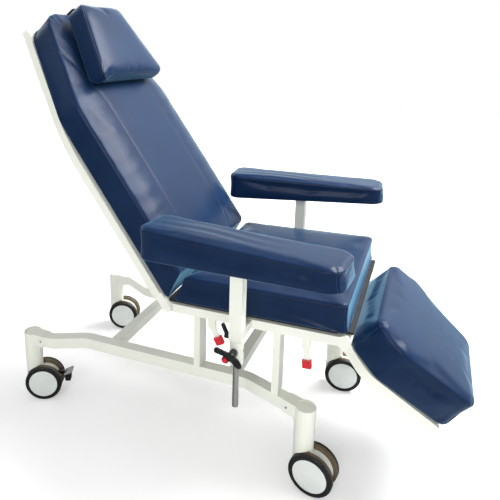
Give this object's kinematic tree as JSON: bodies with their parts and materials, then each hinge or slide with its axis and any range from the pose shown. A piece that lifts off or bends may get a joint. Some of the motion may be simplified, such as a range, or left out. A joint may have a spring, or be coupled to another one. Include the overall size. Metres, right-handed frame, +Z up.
{
  "type": "phlebotomy chair",
  "caption": "Mobile blood-donation recliner: navy cushions on an off-white tube frame, swing-out armrests on clamped posts, tilting back and leg rest, twin-wheel castors",
  "frame": {"origin": "on the floor under the middle of the whole chair", "axes": "+X runs forwards to the leg rest, +Y to the sitter's left, +Z up"},
  "size_m": [1.3998, 0.8876, 1.3374],
  "materials": {
    "frame_paint": "off-white powder coat, satin",
    "vinyl": "navy upholstery vinyl with a soft sheen",
    "wheel_grey": "light grey moulded hub in a black tyre",
    "caster_plastic": "off-white moulded castor housing",
    "stainless": "polished stainless tube",
    "black_plastic": "black moulded handle",
    "red_plastic": "red moulded cap or button",
    "dark_steel": "black lacquered steel",
    "zinc": "bright zinc or chromed steel"
  },
  "bodies": {
    "root": {"base_rail_left": "frame_paint", "base_rail_right": "frame_paint", "base_cross_tube_rear": "frame_paint", "base_cross_tube_front": "frame_paint", "frame_screws": "zinc", "leg_frame_rear": "frame_paint", "leg_frame_front": "frame_paint", "seat_rail_left": "frame_paint", "seat_rail_right": "frame_paint", "seat_board": "vinyl", "seat_cushion": "vinyl", "spring_pins": "zinc", "arm_sleeve_left": "frame_paint", "arm_sleeve_right": "frame_paint", "caster_housing_rear_left": "frame_paint", "caster_housing_rear_right": "frame_paint", "caster_housing_front_left": "frame_paint", "caster_housing_front_right": "frame_paint"},
    "back_rest": {"back_side_tube_left": "frame_paint", "back_side_tube_right": "frame_paint", "back_top_tube": "frame_paint", "back_pivot_shaft": "frame_paint", "back_cushion": "vinyl"},
    "headrest": {"headrest_hoop": "dark_steel", "head_pillow": "vinyl"},
    "leg_rest": {"leg_side_tube_left": "frame_paint", "leg_side_tube_right": "frame_paint", "leg_pivot_shaft": "frame_paint", "leg_cushion": "vinyl"},
    "back_spring_body": {"back_spring_cylinder": "dark_steel"},
    "back_spring_piston": {"back_spring_rod": "zinc"},
    "leg_spring_body": {"leg_spring_cylinder": "dark_steel"},
    "leg_spring_piston": {"leg_spring_rod": "zinc"},
    "caster_rear_left": {"caster_fork_rear_left": "caster_plastic"},
    "wheel_rear_left_left": {"wheel_rear_left_left": "wheel_grey"},
    "wheel_rear_left_right": {"wheel_rear_left_right": "wheel_grey"},
    "caster_rear_right": {"caster_fork_rear_right": "caster_plastic"},
    "wheel_rear_right_left": {"wheel_rear_right_left": "wheel_grey"},
    "wheel_rear_right_right": {"wheel_rear_right_right": "wheel_grey"},
    "brake_pedal": {"brake_pedal": "black_plastic"},
    "caster_front_left": {"caster_fork_front_left": "caster_plastic"},
    "wheel_front_left_left": {"wheel_front_left_left": "wheel_grey"},
    "wheel_front_left_right": {"wheel_front_left_right": "wheel_grey"},
    "caster_front_right": {"caster_fork_front_right": "caster_plastic"},
    "wheel_front_right_left": {"wheel_front_right_left": "wheel_grey"},
    "wheel_front_right_right": {"wheel_front_right_right": "wheel_grey"},
    "arm_post_left": {"arm_post_left": "stainless"},
    "armrest_left": {"arm_plate_left": "frame_paint", "armrest_pad_left": "vinyl"},
    "clamp_lever_left": {"clamp_lever_left": "black_plastic"},
    "clamp_button_left": {"clamp_button_left": "red_plastic"},
    "lock_lever_left": {"lock_lever_left": "black_plastic"},
    "arm_post_right": {"arm_post_right": "stainless"},
    "armrest_right": {"arm_plate_right": "frame_paint", "armrest_pad_right": "vinyl"},
    "clamp_lever_right": {"clamp_lever_right": "black_plastic"},
    "clamp_button_right": {"clamp_button_right": "red_plastic"},
    "lock_lever_right": {"lock_lever_right": "black_plastic"},
    "release_lever_back": {"release_lever_back": "frame_paint"},
    "release_lever_leg": {"release_lever_leg": "frame_paint"}
  },
  "joints": [
    {"name": "back_recline", "type": "hinge", "parent": "root", "child": "back_rest", "pos_m": [-0.11669, 0, 0.46177], "axis": [0, 1, 0], "range_deg": [-50, 0]},
    {"name": "headrest_height", "type": "slide", "parent": "back_rest", "child": "headrest", "axis": [-0.5878, 0, 0.809], "range_m": [0, 0.06]},
    {"name": "leg_rest_tilt", "type": "hinge", "parent": "root", "child": "leg_rest", "pos_m": [0.38204, 0, 0.47831], "axis": [0, 1, 0], "range_deg": [-35, 26]},
    {"name": "back_spring_swing", "type": "hinge", "parent": "root", "child": "back_spring_body", "pos_m": [0.1759, 0.07, 0.415], "axis": [0, 1, 0], "range_deg": [-0.2, 0.97]},
    {"name": "back_spring_stroke", "type": "slide", "parent": "back_spring_body", "child": "back_spring_piston", "axis": [-0.9993, 0, -0.0363], "range_m": [-0.0534, 0.0005]},
    {"name": "leg_spring_swing", "type": "hinge", "parent": "root", "child": "leg_spring_body", "pos_m": [-0.0101, -0.07, 0.418], "axis": [0, 1, 0], "range_deg": [-1.13, 1.45]},
    {"name": "leg_spring_stroke", "type": "slide", "parent": "leg_spring_body", "child": "leg_spring_piston", "axis": [0.9978, 0, 0.0662], "range_m": [-0.0165, 0.022]},
    {"name": "caster_swivel_rear_left", "type": "hinge", "parent": "root", "child": "caster_rear_left", "pos_m": [-0.6501, 0.262, 0.149], "axis": [0, 0, 1], "continuous": true},
    {"name": "roll_rear_left_left", "type": "hinge", "parent": "caster_rear_left", "child": "wheel_rear_left_left", "pos_m": [-0.6266, 0.29645, 0.0625], "axis": [-0.309, 0.9511, 0], "continuous": true},
    {"name": "roll_rear_left_right", "type": "hinge", "parent": "caster_rear_left", "child": "wheel_rear_left_right", "pos_m": [-0.61084, 0.24795, 0.0625], "axis": [-0.309, 0.9511, 0], "continuous": true},
    {"name": "caster_swivel_rear_right", "type": "hinge", "parent": "root", "child": "caster_rear_right", "pos_m": [-0.6501, -0.262, 0.149], "axis": [0, 0, 1], "continuous": true},
    {"name": "roll_rear_right_left", "type": "hinge", "parent": "caster_rear_right", "child": "wheel_rear_right_left", "pos_m": [-0.63162, -0.22462, 0.0625], "axis": [-0.4384, 0.8988, 0], "continuous": true},
    {"name": "roll_rear_right_right", "type": "hinge", "parent": "caster_rear_right", "child": "wheel_rear_right_right", "pos_m": [-0.60926, -0.27045, 0.0625], "axis": [-0.4384, 0.8988, 0], "continuous": true},
    {"name": "brake_press", "type": "hinge", "parent": "caster_rear_right", "child": "brake_pedal", "pos_m": [-0.58719, -0.23131, 0.085], "axis": [-0.4384, 0.8988, 0], "range_deg": [0, 14]},
    {"name": "caster_swivel_front_left", "type": "hinge", "parent": "root", "child": "caster_front_left", "pos_m": [0.2919, 0.244, 0.149], "axis": [0, 0, 1], "continuous": true},
    {"name": "roll_front_left_left", "type": "hinge", "parent": "caster_front_left", "child": "wheel_front_left_left", "pos_m": [0.32103, 0.27385, 0.0625], "axis": [-0.1392, 0.9903, 0], "continuous": true},
    {"name": "roll_front_left_right", "type": "hinge", "parent": "caster_front_left", "child": "wheel_front_left_right", "pos_m": [0.32812, 0.22334, 0.0625], "axis": [-0.1392, 0.9903, 0], "continuous": true},
    {"name": "caster_swivel_front_right", "type": "hinge", "parent": "root", "child": "caster_front_right", "pos_m": [0.2919, -0.244, 0.149], "axis": [0, 0, 1], "continuous": true},
    {"name": "roll_front_right_left", "type": "hinge", "parent": "caster_front_right", "child": "wheel_front_right_left", "pos_m": [0.32812, -0.22334, 0.0625], "axis": [0.1392, 0.9903, 0], "continuous": true},
    {"name": "roll_front_right_right", "type": "hinge", "parent": "caster_front_right", "child": "wheel_front_right_right", "pos_m": [0.32103, -0.27385, 0.0625], "axis": [0.1392, 0.9903, 0], "continuous": true},
    {"name": "arm_height_left", "type": "slide", "parent": "root", "child": "arm_post_left", "axis": [0, 0, 1], "range_m": [0, 0.1]},
    {"name": "arm_swing_left", "type": "hinge", "parent": "arm_post_left", "child": "armrest_left", "pos_m": [0.1199, 0.337, 0.6435], "axis": [0, 0, 1], "range_deg": [0, 80]},
    {"name": "clamp_turn_left", "type": "hinge", "parent": "root", "child": "clamp_lever_left", "pos_m": [0.1199, 0.357, 0.431], "axis": [0, 1, 0], "range_deg": [-60, 60]},
    {"name": "button_press_left", "type": "slide", "parent": "clamp_lever_left", "child": "clamp_button_left", "axis": [0, -1, 0], "range_m": [0, 0.003], "stiffness_N_per_m": 300},
    {"name": "lock_turn_left", "type": "hinge", "parent": "root", "child": "lock_lever_left", "pos_m": [0.1029, 0.337, 0.463], "axis": [1, 0, 0], "range_deg": [-60, 60]},
    {"name": "arm_height_right", "type": "slide", "parent": "root", "child": "arm_post_right", "axis": [0, 0, 1], "range_m": [0, 0.1]},
    {"name": "arm_swing_right", "type": "hinge", "parent": "arm_post_right", "child": "armrest_right", "pos_m": [0.1199, -0.337, 0.6435], "axis": [0, 0, 1], "range_deg": [-80, 0]},
    {"name": "clamp_turn_right", "type": "hinge", "parent": "root", "child": "clamp_lever_right", "pos_m": [0.1199, -0.357, 0.431], "axis": [0, 1, 0], "range_deg": [-60, 60]},
    {"name": "button_press_right", "type": "slide", "parent": "clamp_lever_right", "child": "clamp_button_right", "axis": [0, 1, 0], "range_m": [0, 0.003], "stiffness_N_per_m": 300},
    {"name": "lock_turn_right", "type": "hinge", "parent": "root", "child": "lock_lever_right", "pos_m": [0.1029, -0.337, 0.463], "axis": [1, 0, 0], "range_deg": [-60, 60]},
    {"name": "release_pull_back", "type": "hinge", "parent": "root", "child": "release_lever_back", "pos_m": [0.01174, -0.245, 0.42101], "axis": [0, 1, 0], "range_deg": [0, 20], "stiffness_Nm_per_rad": 0.5},
    {"name": "release_pull_leg", "type": "hinge", "parent": "root", "child": "release_lever_leg", "pos_m": [0.28359, -0.245, 0.43002], "axis": [0, 1, 0], "range_deg": [0, 20], "stiffness_Nm_per_rad": 0.5}
  ],
  "couplings": [
    {"joint": "back_spring_swing", "follows": "back_recline", "ratio": -0.015},
    {"joint": "back_spring_stroke", "follows": "back_recline", "m_per_rad": 0.0594},
    {"joint": "leg_spring_swing", "follows": "leg_rest_tilt", "ratio": -0.035},
    {"joint": "leg_spring_stroke", "follows": "leg_rest_tilt", "m_per_rad": -0.03458}
  ]
}
